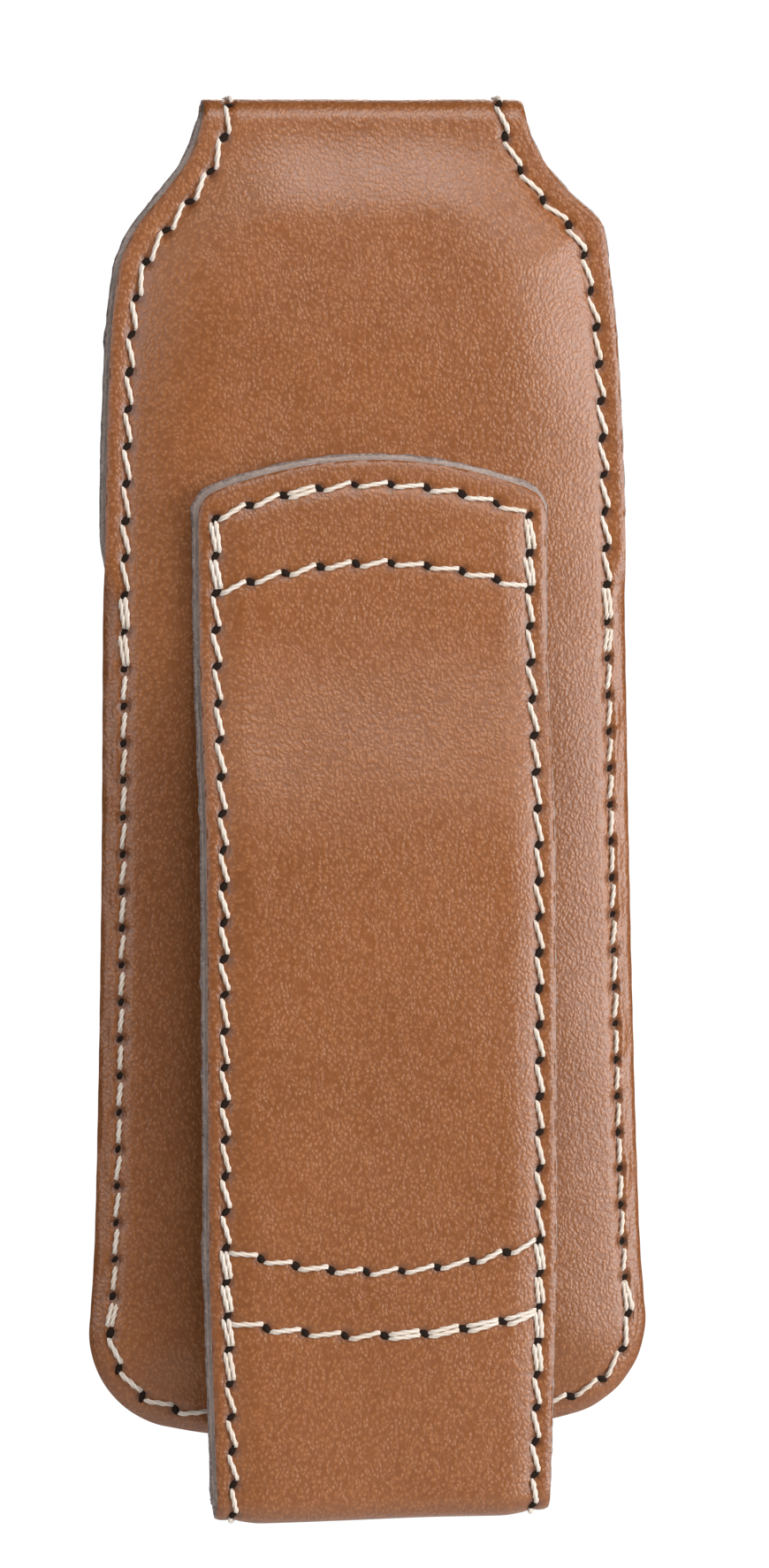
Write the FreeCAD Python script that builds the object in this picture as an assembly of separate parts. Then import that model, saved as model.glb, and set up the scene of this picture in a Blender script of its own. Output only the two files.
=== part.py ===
import FreeCAD, Part
import math
import os
from FreeCAD import Vector

os.makedirs("parts", exist_ok=True)

# A slim leather belt case. The belt loop is on the back (-Y), the pocket and the closing flap are
# on the front (+Y). Heights are counted up from the lowest fold of the belt strap, and ORIGIN_H
# moves them so that the frame's origin is the middle of the belt slot.
ORIGIN_H = 58.0
LEATHER = 1.3                    # outer leather
LINING = 0.9                     # lining leather
WALL = LEATHER + LINING
SPLIT_GAP = 0.3                  # free gap where a bending piece is divided at its joint
LAYER_GAP = 0.1                  # air left between two faces folded onto each other

# Belt slot and the back panel behind it.
SLOT_GAP = 4.3                   # room for the belt, front to back
PANEL_CROWN = 1.2                # how far the back panel swells behind the strap
CROWN_EDGE = 7.0                 # width of the slope from the seam up to the swell
CROWN_TOP_H = 126.0              # the swell fades out below this height
CROWN_FADE = 14.0
FOOT_EASE = 3.0                  # the slope is this much wider at the bottom
FLANGE_Y = SLOT_GAP / 2 + PANEL_CROWN
SEAM_MARGIN = 2.4                # seam to cut edge

# Case outline: half width and height, from the fold down to the widest place, then the corner.
FOLD_TOP = 139.3
NECK_HALF = 15.9
SIDE = [
    (16.0, 137.0),
    (17.4, 133.4),
    (20.0, 130.1),
    (23.0, 126.5),
    (24.2, 123.0),
    (25.3, 114.3),
    (26.0, 97.0),
    (26.5, 62.0),
    (27.4, 27.4),
    (27.9, 19.6),
]
CORNER_MID = (26.3, 12.4)
CORNER_END = (20.4, 8.4)
BOTTOM_H = 6.2
FOLD_GAP = 0.15
FOLD_RADIUS = WALL + FOLD_GAP
FOLD_AXIS_H = FOLD_TOP - FOLD_RADIUS

# Pocket on the front.
MOUTH_H = 91.5
POCKET_DEPTH = 10.8              # swell of the pocket in front of its sewn edge
POCKET_EDGE = 11.0               # width of the slope from the seam up to the front
SLOPE_SHIFT = 0.6                # sideways step of the slope per depth, keeps the wall's thickness
REACH = 60.0                     # far enough to cut right through the case
POCKET_FRONT_Y = FLANGE_Y + 2 * WALL + POCKET_DEPTH

# Flap tongue.
TONGUE_HALF = 15.9
TONGUE_END_H = 52.0
TONGUE_END_RADIUS = 13.0
TONGUE_FLAT_H = 93.0
TONGUE_STEPS = 24
SNAP_GAP = 2.0                   # room that a closed press stud takes between two leathers
TONGUE_Y = POCKET_FRONT_Y + SNAP_GAP + WALL
FLAP_SNAP_H = 65.0

# Belt strap.
STRAP_HALF = 17.25
STRAP_FOLD_HALF = 16.6
STRAP_TAPER_H = 25.0
STRAP_TOP_H = 103.9
STRAP_TOP_SAG = 3.6
STRAP_CORNER = 2.4
STRAP_SPLIT_H = 89.3
STRAP_RAMP_H = 64.0
RAMP_STEPS = 16
STRAP_OUT_Y = -SLOT_GAP / 2 - WALL
STRAP_HEAD_Y = SLOT_GAP / 2 - WALL
RETURN_END_H = 28.4
STRAP_SEAM_MARGIN = 1.65
STRAP_SNAP_H = 17.0

# Seams.
PITCH = 3.65
SHORTEST_RUN = 0.6                             # in stitches
STITCH_LENGTH = 2.8
THREAD_RADIUS = 0.28
ROW_HALF = STRAP_HALF - STRAP_SEAM_MARGIN
HEAD_ROWS = [(98.9, 101.4), (90.9, 93.4)]      # end height, centre height
LEG_ROWS = [(26.5, 24.1), (19.2, 17.4)]
ROW_GAP = 0.6                                  # between a row's end and the edge seam
EDGE_ROW_LOW_H = 3.0
EDGE_ROW_TOP_H = 78.0
THREAD_SINK = 0.1                              # how far a stitch stands in front of its face

# Press studs.
CAP_RADIUS = 6.0
CAP_HEIGHT = 1.3
SOCKET_RADIUS = 5.2
SOCKET_BORE = 3.0
SOCKET_HEIGHT = 1.6
STUD_RADIUS = 2.2
STUD_HEIGHT = 1.5
STUD_BASE_RADIUS = 2.4
STUD_BASE_HEIGHT = 0.3
SHANK_RADIUS = 1.2
RIVET_RADIUS = 4.5
RIVET_HEIGHT = 0.4


def level(height):
    """Frame height of a height above the lowest fold."""
    return height - ORIGIN_H


def ease(t):
    """Smooth step from 0 to 1."""
    t = min(max(t, 0.0), 1.0)
    return t * t * (3.0 - 2.0 * t)


def half_width(height):
    """Half width of the case at a height, straight between the outline's points."""
    if height >= SIDE[0][1]:
        return NECK_HALF
    if height <= SIDE[-1][1]:
        return SIDE[-1][0]
    for (wide_a, high_a), (wide_b, high_b) in zip(SIDE, SIDE[1:]):
        if height >= high_b:
            share = (high_a - height) / (high_a - high_b)
            return wide_a + share * (wide_b - wide_a)


def swell(x, z, edge, top_h):
    """0 at the seam, 1 on the swell, over the slope's width; open at the top when top_h is None."""
    height = z + ORIGIN_H
    inside = half_width(height) - SEAM_MARGIN - abs(x)
    rise = ease(inside / edge) * ease((height - BOTTOM_H - SEAM_MARGIN) / (edge + FOOT_EASE))
    if top_h is not None:
        rise *= ease((top_h - height) / CROWN_FADE)
    return rise


def back_y(x, z):
    """Outer face of the back panel."""
    return FLANGE_Y - PANEL_CROWN * swell(x, z, CROWN_EDGE, CROWN_TOP_H)


def pocket_y(x, z, depth_in=0.0):
    """Face of the pocket that lies depth_in under its outer face."""
    shift = SLOPE_SHIFT * depth_in
    rise = swell(abs(x) + shift, z - shift, POCKET_EDGE, None)
    return FLANGE_Y + 2 * WALL - depth_in + POCKET_DEPTH * rise


def spline_face(face_y, half, low, high, across, up):
    """Smooth face y = face_y(x, z) over a rectangle."""
    grid = []
    for i in range(across):
        x = -half + 2 * half * i / (across - 1)
        column = []
        for k in range(up):
            z = low + (high - low) * k / (up - 1)
            column.append(Vector(x, face_y(x, z), z))
        grid.append(column)
    surface = Part.BSplineSurface()
    surface.interpolate(grid)
    return surface


def between(near, far):
    """Solid between two spline faces over the same rectangle."""
    faces = [near.toShape(), far.toShape()]
    u0, u1, v0, v1 = near.bounds()
    p0, p1, q0, q1 = far.bounds()
    rims = [
        (near.uIso(u0), far.uIso(p0)),
        (near.uIso(u1), far.uIso(p1)),
        (near.vIso(v0), far.vIso(q0)),
        (near.vIso(v1), far.vIso(q1)),
    ]
    for a, b in rims:
        faces.append(Part.makeRuledSurface(a.toShape(), b.toShape()))
    shell = Part.Shell(faces)
    shell.sewShape()
    solid = Part.Solid(shell)
    if solid.Volume < 0:
        solid.reverse()
    return solid


def curve(points):
    """Edge through points, smooth."""
    spline = Part.BSplineCurve()
    spline.interpolate(points)
    return spline.toShape()


def flat(x, height):
    return Vector(x, 0, level(height))


def case_outline(top_h):
    """Closed outline of the case from its bottom up to top_h, in the X-Z plane."""
    side = [flat(w, h) for w, h in SIDE if h < top_h - 1.0]
    side.insert(0, flat(half_width(top_h), top_h))
    left = [Vector(-p.x, 0, p.z) for p in side]
    corner = Part.Arc(side[-1], flat(*CORNER_MID), flat(*CORNER_END)).toShape()
    mirror = Part.Arc(
        flat(-CORNER_END[0], CORNER_END[1]), flat(-CORNER_MID[0], CORNER_MID[1]), left[-1]
    ).toShape()
    base = Part.Arc(
        flat(*CORNER_END), flat(0, BOTTOM_H), flat(-CORNER_END[0], CORNER_END[1])
    ).toShape()
    top = Part.makeLine(left[0], side[0])
    return Part.Wire([top, curve(side), corner, base, mirror, curve(left[::-1])])


def prism(wire, near_y, far_y):
    """Outline carried through from near_y to far_y."""
    moved = wire.copy()
    moved.translate(Vector(0, near_y, 0))
    return Part.Face(moved).extrude(Vector(0, far_y - near_y, 0))


def profile_solid(points_y_h, half):
    """Closed Y-Z profile given as edges, carried across the width."""
    wire = Part.Wire(Part.__sortEdges__(points_y_h))
    wire.translate(Vector(-half, 0, 0))
    return Part.Face(wire).extrude(Vector(2 * half, 0, 0))


def side_point(y, height):
    return Vector(0, y, level(height))


def band(near_line, far_line):
    """Edges of a layer between two lines of (y, height) points that run the same way."""
    near = [side_point(*p) for p in near_line]
    far = [side_point(*p) for p in far_line]
    return [
        curve(near),
        curve(far),
        Part.makeLine(near[0], far[0]),
        Part.makeLine(near[-1], far[-1]),
    ]


def half_ring(centre_y, centre_h, inner, outer, half, upward):
    """Leather bent through half a turn about a line along X."""
    ring = Part.makeCylinder(
        outer, 2 * half, Vector(-half, centre_y, level(centre_h)), Vector(1, 0, 0)
    )
    hole = Part.makeCylinder(
        inner, 2 * half, Vector(-half, centre_y, level(centre_h)), Vector(1, 0, 0)
    )
    low = level(centre_h) if upward else level(centre_h) - 2 * outer
    keep = Part.makeBox(2 * half, 4 * outer, 2 * outer, Vector(-half, centre_y - 2 * outer, low))
    return ring.cut(hole).common(keep)


def disc(radius, x, y, height, length):
    """Round piece along Y, from y towards +Y (or -Y for a negative length)."""
    direction = Vector(0, 1, 0) if length > 0 else Vector(0, -1, 0)
    return Part.makeCylinder(radius, abs(length), Vector(x, y, level(height)), direction)


# The panels of the case.

def case_layer(near, far):
    """One layer of the back panel: swelled from the bottom to the neck, then folded over the top."""
    low = level(BOTTOM_H - 1.0)
    high = level(FOLD_AXIS_H)
    half = SIDE[-1][0] + 1.0

    def near_y(x, z):
        return back_y(x, z) + near

    def far_y(x, z):
        return back_y(x, z) + far

    sheet = between(
        spline_face(near_y, half, low, high, 33, 67),
        spline_face(far_y, half, low, high, 33, 67),
    )
    sheet = sheet.common(prism(case_outline(FOLD_AXIS_H), -20, 40))
    fold = half_ring(
        FLANGE_Y + FOLD_RADIUS, FOLD_AXIS_H, FOLD_RADIUS - far, FOLD_RADIUS - near, NECK_HALF, True
    )
    return sheet.fuse(fold)


def pocket_layer(depth_near, depth_far):
    """One layer of the pocket: sewn flat along its edge, swelled in front of the contents."""
    low = level(BOTTOM_H - 1.0)
    half = SIDE[-1][0] + 1.0

    def inner_y(x, z):
        return pocket_y(x, z, depth_far)

    def outer_y(x, z):
        return pocket_y(x, z, depth_near)

    sheet = between(
        spline_face(inner_y, half, low, level(MOUTH_H) + 1.0, 45, 61),
        spline_face(outer_y, half, low, level(MOUTH_H) + 1.0, 45, 61),
    )
    return sheet.common(prism(case_outline(MOUTH_H), -REACH, REACH))


def strap_outline(low_h, top_h, rounded):
    """Outline of the strap in the X-Z plane, with a crowned, round-cornered top if rounded."""
    right_low = flat(strap_half(low_h), low_h)
    taper = flat(STRAP_HALF, max(STRAP_TAPER_H, low_h + 0.01))
    left_low = Vector(-right_low.x, 0, right_low.z)
    left_taper = Vector(-taper.x, 0, taper.z)
    if not rounded:
        right_top = flat(STRAP_HALF, top_h)
        left_top = flat(-STRAP_HALF, top_h)
        corners = [left_low, right_low, taper, right_top, left_top, left_taper, left_low]
        return Part.makePolygon(corners)
    shoulder = top_h - STRAP_TOP_SAG
    tip_x = STRAP_HALF - STRAP_CORNER
    tip_h = shoulder + 0.6
    bend = STRAP_CORNER * (1 - math.sqrt(0.5))
    right_tip = flat(tip_x, tip_h)
    right_side = flat(STRAP_HALF, tip_h - STRAP_CORNER)
    left_tip = Vector(-right_tip.x, 0, right_tip.z)
    left_side = Vector(-right_side.x, 0, right_side.z)
    edges = [
        Part.makeLine(left_low, right_low),
        Part.makeLine(right_low, right_side),
        Part.Arc(right_side, flat(STRAP_HALF - bend, tip_h - bend), right_tip).toShape(),
        Part.Arc(right_tip, flat(0, top_h), left_tip).toShape(),
        Part.Arc(left_tip, flat(bend - STRAP_HALF, tip_h - bend), left_side).toShape(),
        Part.makeLine(left_side, left_low),
    ]
    return Part.Wire(edges)


def strap_half(height):
    """Half width of the strap, narrowing towards its fold."""
    share = min(max((STRAP_TAPER_H - height) / STRAP_TAPER_H, 0.0), 1.0)
    return STRAP_HALF - share * (STRAP_HALF - STRAP_FOLD_HALF)


def strap_head(near, far):
    """The end of the strap that is sewn to the back panel."""
    outline = strap_outline(STRAP_SPLIT_H, STRAP_TOP_H, True)
    return prism(outline, STRAP_HEAD_Y + near, STRAP_HEAD_Y + far)


def strap_y(height):
    """Outer face of the strap's near leg, from its head out to the belt slot."""
    top = STRAP_SPLIT_H - SPLIT_GAP
    share = ease((top - height) / (top - STRAP_RAMP_H))
    return STRAP_HEAD_Y + share * (STRAP_OUT_Y - STRAP_HEAD_Y)


def strap_line(offset):
    """Line of (y, height) down the near leg of the strap, offset inwards from its outer face."""
    line = []
    top = STRAP_SPLIT_H - SPLIT_GAP
    for i in range(RAMP_STEPS + 1):
        height = top + (STRAP_RAMP_H - top) * i / RAMP_STEPS
        line.append((strap_y(height) + offset, height))
    return line


def strap_leg(near, far):
    """The free part of the strap: down from the hinge, round the bottom fold and back up."""
    radius = WALL + LAYER_GAP / 2
    ramp = profile_solid(band(strap_line(near), strap_line(far)), STRAP_HALF)
    centre_y = STRAP_OUT_Y + radius
    leg = Part.makeBox(
        2 * STRAP_HALF,
        far - near,
        STRAP_RAMP_H - radius,
        Vector(-STRAP_HALF, STRAP_OUT_Y + near, level(radius)),
    )
    back = Part.makeBox(
        2 * STRAP_HALF,
        far - near,
        RETURN_END_H - radius,
        Vector(-STRAP_HALF, STRAP_OUT_Y + 2 * radius - far, level(radius)),
    )
    fold = half_ring(centre_y, radius, radius - far, radius - near, STRAP_HALF, False)
    whole = ramp.fuse([leg, back, fold])
    outline = strap_outline(-1.0, STRAP_SPLIT_H, False)
    return whole.common(prism(outline, -REACH, REACH)).removeSplitter()


def tongue_outline():
    """Flap tongue: straight sides and a round end, in the X-Z plane."""
    side_h = TONGUE_END_H + TONGUE_END_RADIUS
    top = FOLD_AXIS_H - SPLIT_GAP
    lean = TONGUE_END_RADIUS * math.sqrt(0.5)
    mid_x = TONGUE_HALF - TONGUE_END_RADIUS + lean
    mid_h = side_h - lean
    end_x = TONGUE_HALF - TONGUE_END_RADIUS
    edges = [
        Part.makeLine(flat(-TONGUE_HALF, top), flat(TONGUE_HALF, top)),
        Part.makeLine(flat(TONGUE_HALF, top), flat(TONGUE_HALF, side_h)),
        Part.Arc(
            flat(TONGUE_HALF, side_h), flat(mid_x, mid_h), flat(end_x, TONGUE_END_H)
        ).toShape(),
        Part.makeLine(flat(end_x, TONGUE_END_H), flat(-end_x, TONGUE_END_H)),
        Part.Arc(
            flat(-end_x, TONGUE_END_H), flat(-mid_x, mid_h), flat(-TONGUE_HALF, side_h)
        ).toShape(),
        Part.makeLine(flat(-TONGUE_HALF, side_h), flat(-TONGUE_HALF, top)),
    ]
    return Part.Wire(edges)


def tongue_y(height):
    """Outer face of the flap tongue, from the fold out to the front of the pocket."""
    top = FOLD_AXIS_H - SPLIT_GAP
    start = FLANGE_Y + 2 * FOLD_RADIUS
    return start + (TONGUE_Y - start) * ease((top - height) / (top - TONGUE_FLAT_H))


def tongue_line(offset):
    line = []
    top = FOLD_AXIS_H - SPLIT_GAP
    for i in range(TONGUE_STEPS + 1):
        height = top + (TONGUE_END_H - 1.0 - top) * i / TONGUE_STEPS
        line.append((tongue_y(height) - offset, height))
    return line


def flap_layer(near, far):
    """One layer of the flap tongue, counted inwards from its outer face."""
    sheet = profile_solid(band(tongue_line(near), tongue_line(far)), TONGUE_HALF)
    return sheet.common(prism(tongue_outline(), -REACH, REACH))


# The press studs. Each is a socket under a cap on the moving leather, and a stud over a rivet
# base on the fixed leather.

def socket_ring(y, height, toward):
    ring = disc(SOCKET_RADIUS, 0, y, height, toward * SOCKET_HEIGHT)
    return ring.cut(disc(SOCKET_BORE, 0, y, height, toward * SOCKET_HEIGHT))


def snap_cap(y, height, toward, rise, shank):
    """Domed cap on one face of a leather, with its shank through the leather."""
    cap = disc(CAP_RADIUS, 0, y, height, toward * rise)
    rim = [e for e in cap.Edges if abs(e.BoundBox.YMin - (y + toward * rise)) < 1e-6]
    cap = cap.makeFillet(0.8 * rise, rim[:1])
    return cap.fuse(disc(SHANK_RADIUS, 0, y, height, -toward * shank))


def stud(y, height, toward):
    """Ball-headed stud standing on a leather's face."""
    base = disc(STUD_BASE_RADIUS, 0, y, height, toward * STUD_BASE_HEIGHT)
    head = disc(STUD_RADIUS, 0, y, height, toward * STUD_HEIGHT)
    rim = [e for e in head.Edges if abs(e.BoundBox.YMin - (y + toward * STUD_HEIGHT)) < 1e-6]
    return base.fuse(head.makeFillet(0.6, rim[:1]))


def rivet(y, height, toward, shank):
    """Flat rivet base on the inside, with its shank through the leather to the stud."""
    base = disc(RIVET_RADIUS, 0, y, height, -toward * RIVET_HEIGHT)
    return base.fuse(disc(SHANK_RADIUS, 0, y, height, toward * shank))


def hole(y, height, length):
    return disc(SHANK_RADIUS, 0, y, height, length)


# The threads: each seam is a row of separate stitches lying on the leather.

def stitches(path, face_y, lift):
    """Stitches between neighbouring points of a path of (x, height), on a face y = face_y(x, z)."""
    made = []
    for (xa, ha), (xb, hb) in zip(path, path[1:]):
        a = Vector(xa, face_y(xa, level(ha)) + lift, level(ha))
        b = Vector(xb, face_y(xb, level(hb)) + lift, level(hb))
        run = b - a
        if run.Length < SHORTEST_RUN * PITCH:
            continue
        spare = max(run.Length - STITCH_LENGTH, 0.2) / 2
        start = a + run.normalize() * spare
        reach = (b - a).Length - 2 * spare
        made.append(Part.makeCylinder(THREAD_RADIUS, reach, start, run))
    return made


def inset_path(wire, inset, keep):
    """Points a stitch apart along an outline moved inwards, where keep(x, height) holds."""
    inner = wire.makeOffset2D(-inset)
    if inner.BoundBox.XLength > wire.BoundBox.XLength:
        inner = wire.makeOffset2D(inset)
    count = round(inner.Length / PITCH)
    points = inner.discretize(Number=count + 1)
    return [(p.x, p.z + ORIGIN_H) for p in points if keep(p.x, p.z + ORIGIN_H)]


def runs(path):
    """Split a path where it jumps."""
    parts = [[path[0]]]
    for a, b in zip(path, path[1:]):
        if math.hypot(b[0] - a[0], b[1] - a[1]) > 2 * PITCH:
            parts.append([])
        parts[-1].append(b)
    return parts


def arc_path(end_h, centre_h, half):
    """A bowed row of stitches across the strap."""
    count = round(2 * half / PITCH)
    row = []
    for i in range(count + 1):
        x = -half + 2 * half * i / count
        row.append((x, centre_h + (end_h - centre_h) * (x / half) ** 2))
    return row


def straight_path(x, low_h, high_h):
    count = round((high_h - low_h) / PITCH)
    return [(x, low_h + (high_h - low_h) * i / count) for i in range(count + 1)]


def save(name, solids):
    """Write one named piece, as one or more separate closed solids."""
    shape = solids[0] if len(solids) == 1 else Part.makeCompound(solids)
    for solid in shape.Solids:
        if not solid.isValid():
            print("not valid:", name)
    print(name, len(shape.Solids), round(shape.Volume, 2))
    shape.exportStep("parts/" + name + ".step")


# Back panel and its lining, with the holes for the strap's press stud.
back_outer_y = SLOT_GAP / 2
back_inner_y = back_outer_y + WALL
back_hole = hole(back_outer_y - 1, STRAP_SNAP_H, WALL + 2)
back_rivet = rivet(back_inner_y, STRAP_SNAP_H, -1, WALL)
back_panel = case_layer(0, LEATHER).cut(back_hole)
back_lining = case_layer(LEATHER, WALL).cut(back_hole).cut(back_rivet)
save("back_panel", [back_panel])
save("back_lining", [back_lining])

# Pocket and its lining, with the hole for the flap's press stud.
pocket_hole = hole(POCKET_FRONT_Y - WALL - 1, FLAP_SNAP_H, WALL + 2)
pocket_rivet = rivet(POCKET_FRONT_Y - WALL, FLAP_SNAP_H, 1, WALL)
save("pocket_panel", [pocket_layer(0, LEATHER).cut(pocket_hole)])
save("pocket_lining", [pocket_layer(LEATHER, WALL).cut(pocket_hole).cut(pocket_rivet)])

# Strap head, sewn to the back panel.
save("strap_head", [strap_head(0, LEATHER)])
save("strap_head_lining", [strap_head(LEATHER, WALL)])

# Strap leg, which swings open at the strap's hinge line.
return_y = STRAP_OUT_Y + 2 * WALL + LAYER_GAP
leg_cap = disc(CAP_RADIUS, 0, return_y - WALL, STRAP_SNAP_H, RIVET_HEIGHT)
leg_cap = leg_cap.fuse(disc(SHANK_RADIUS, 0, return_y - WALL, STRAP_SNAP_H, WALL))
leg_gap = leg_cap.fuse(disc(CAP_RADIUS, 0, return_y - WALL, STRAP_SNAP_H, -LAYER_GAP / 2))
save("strap_leg", [strap_leg(0, LEATHER).cut(leg_gap)])
save("strap_leg_lining", [strap_leg(LEATHER, WALL).cut(leg_gap)])
save("strap_snap_cap", [leg_cap])
save("strap_snap_socket", [socket_ring(return_y, STRAP_SNAP_H, 1)])
save("strap_stud", [stud(back_outer_y, STRAP_SNAP_H, -1)])
save("strap_stud_rivet", [back_rivet])

# Flap tongue, which swings open at the front of the top fold.
flap_hole = hole(TONGUE_Y - WALL - 1, FLAP_SNAP_H, WALL + 2)
save("flap_panel", [flap_layer(0, LEATHER).cut(flap_hole)])
save("flap_lining", [flap_layer(LEATHER, WALL).cut(flap_hole)])
save("flap_snap_cap", [snap_cap(TONGUE_Y, FLAP_SNAP_H, 1, CAP_HEIGHT, WALL)])
save("flap_snap_socket", [socket_ring(TONGUE_Y - WALL, FLAP_SNAP_H, -1)])
save("flap_stud", [stud(POCKET_FRONT_Y, FLAP_SNAP_H, 1)])
save("flap_stud_rivet", [pocket_rivet])

# Seam round the case: the pocket's seam below the mouth, the edge seam above it.
case_edge = case_outline(FOLD_AXIS_H - 0.01)


def on_pocket(x, height):
    return height < MOUTH_H - 1.5


def on_neck(x, height):
    return MOUTH_H < height < FOLD_AXIS_H - SEAM_MARGIN - 0.5


pocket_rows = []
for run in runs(inset_path(case_edge, SEAM_MARGIN, on_pocket)):
    pocket_rows += stitches(run, back_y, -0.1)
    pocket_rows += stitches(run, pocket_y, THREAD_SINK)
save("pocket_seam_thread", pocket_rows)

neck_rows = []
for run in runs(inset_path(case_edge, SEAM_MARGIN, on_neck)):
    neck_rows += stitches(run, back_y, -0.1)
save("back_edge_thread", neck_rows)

mouth_h = MOUTH_H - STRAP_SEAM_MARGIN
mouth_row = []
mouth_steps = round(2 * (half_width(mouth_h) - 3.5) / (0.8 * PITCH))
for i in range(mouth_steps + 1):
    across = (half_width(mouth_h) - 3.5) * (2 * i / mouth_steps - 1)
    mouth_row.append((across, mouth_h))
save("pocket_mouth_thread", stitches(mouth_row, pocket_y, THREAD_SINK))


# Seams of the strap.
def head_face(x, z):
    return STRAP_HEAD_Y


def leg_face(x, z):
    return strap_y(z + ORIGIN_H)


head_rows = []
for end_h, centre_h in HEAD_ROWS:
    head_rows += stitches(arc_path(end_h, centre_h, ROW_HALF - ROW_GAP), head_face, -THREAD_SINK)
for side in (-1, 1):
    head_rows += stitches(straight_path(side * ROW_HALF, HEAD_ROWS[1][0], HEAD_ROWS[0][0]), head_face, -THREAD_SINK)
save("strap_head_thread", head_rows)

edge_rows = []
for side in (-1, 1):
    edge_rows += stitches(straight_path(side * ROW_HALF, EDGE_ROW_LOW_H, EDGE_ROW_TOP_H), leg_face, -THREAD_SINK)
save("strap_edge_thread", edge_rows)

leg_rows = []
for end_h, centre_h in LEG_ROWS:
    leg_rows += stitches(arc_path(end_h, centre_h, ROW_HALF - ROW_GAP), leg_face, -THREAD_SINK)
save("strap_row_thread", leg_rows)


# Seam along the edge of the flap tongue.
def tongue_face(x, z):
    return tongue_y(z + ORIGIN_H)


def on_tongue(x, height):
    return height < FOLD_AXIS_H - 3.0


tongue_rows = []
for run in runs(inset_path(tongue_outline(), SEAM_MARGIN, on_tongue)):
    tongue_rows += stitches(run, tongue_face, THREAD_SINK)
save("flap_edge_thread", tongue_rows)
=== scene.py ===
import bmesh
import bpy
import math
import numpy as np
from mathutils import Matrix, Vector
from mathutils.kdtree import KDTree


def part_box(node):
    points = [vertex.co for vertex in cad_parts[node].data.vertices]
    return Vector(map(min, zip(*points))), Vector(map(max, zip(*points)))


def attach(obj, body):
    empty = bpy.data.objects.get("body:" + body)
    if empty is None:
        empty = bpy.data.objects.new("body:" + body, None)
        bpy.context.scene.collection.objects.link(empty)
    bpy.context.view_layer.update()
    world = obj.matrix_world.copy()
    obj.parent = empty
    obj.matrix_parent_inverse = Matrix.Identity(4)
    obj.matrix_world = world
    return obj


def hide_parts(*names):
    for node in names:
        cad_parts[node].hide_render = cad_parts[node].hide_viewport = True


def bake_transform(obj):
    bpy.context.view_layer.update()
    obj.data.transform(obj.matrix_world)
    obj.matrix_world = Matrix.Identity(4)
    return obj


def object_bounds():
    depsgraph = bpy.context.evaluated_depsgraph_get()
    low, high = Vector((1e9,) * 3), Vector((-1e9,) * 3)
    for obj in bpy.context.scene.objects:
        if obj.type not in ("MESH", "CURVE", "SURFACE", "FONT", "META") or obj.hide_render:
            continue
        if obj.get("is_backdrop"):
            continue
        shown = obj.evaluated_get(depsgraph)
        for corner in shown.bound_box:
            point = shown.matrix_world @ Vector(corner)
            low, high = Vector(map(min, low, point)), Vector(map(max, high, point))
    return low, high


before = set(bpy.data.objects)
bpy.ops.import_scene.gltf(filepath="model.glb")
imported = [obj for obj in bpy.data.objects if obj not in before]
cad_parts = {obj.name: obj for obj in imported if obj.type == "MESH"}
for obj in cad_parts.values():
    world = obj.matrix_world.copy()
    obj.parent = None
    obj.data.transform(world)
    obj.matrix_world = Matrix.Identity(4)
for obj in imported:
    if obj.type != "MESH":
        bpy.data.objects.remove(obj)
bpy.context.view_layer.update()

# ------------------------------
# Studio. The case hangs by its belt slot over a pale floor. One soft box stands above the neck, one
# on each side of the back, and one lights the front.
MM = 0.001
case_low, case_high = (np.array(corner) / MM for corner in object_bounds())
FOLD_FOOT = case_low[2]  # the strap's bottom fold, heights are counted from it


def shown(name, data):
    """An object of some data, put into the scene."""
    made = bpy.data.objects.new(name, data)
    bpy.context.scene.collection.objects.link(made)
    return made


camera_data = bpy.data.cameras.new("camera")
camera_data.lens = 157.6
camera_data.sensor_width = 36.0
camera_data.clip_start = 0.02
camera_data.clip_end = 60.0
camera = shown("camera", camera_data)
bpy.context.scene.camera = camera
aim = Vector((1.0, 0.0, 14.1)) * MM
turn, rise, roll, reach = math.radians(9.57), math.radians(3.74), math.radians(-0.256), 0.674
away = Vector((-math.sin(turn) * math.cos(rise), -math.cos(turn) * math.cos(rise), math.sin(rise)))
look = (-away).to_track_quat("-Z", "Y").to_matrix().to_4x4()
camera.matrix_world = Matrix.Translation(aim + away * reach) @ look @ Matrix.Rotation(roll, 4, "Z")


def soft_box(name, place, size, power, colour):
    """Square area light at a place in metres, facing the middle of the case."""
    data = bpy.data.lights.new(name, "AREA")
    data.shape = "SQUARE"
    data.size = size
    data.energy = power
    data.color = colour
    light = shown(name, data)
    light.location = place
    light.rotation_euler = (-Vector(place)).to_track_quat("-Z", "Y").to_euler()


soft_box("key_light", (0.06, -0.22, 0.26), 0.16, 0.72, (1.0, 0.985, 0.97))
soft_box("side_light", (0.40, -0.29, 0.01), 0.34, 3.5, (1.0, 0.99, 0.98))
soft_box("fill_light", (-0.38, -0.30, 0.10), 0.35, 1.2, (0.98, 0.99, 1.0))
soft_box("front_light", (0.3, 0.9, 0.45), 0.7, 8.0, (1.0, 0.98, 0.96))


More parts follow.
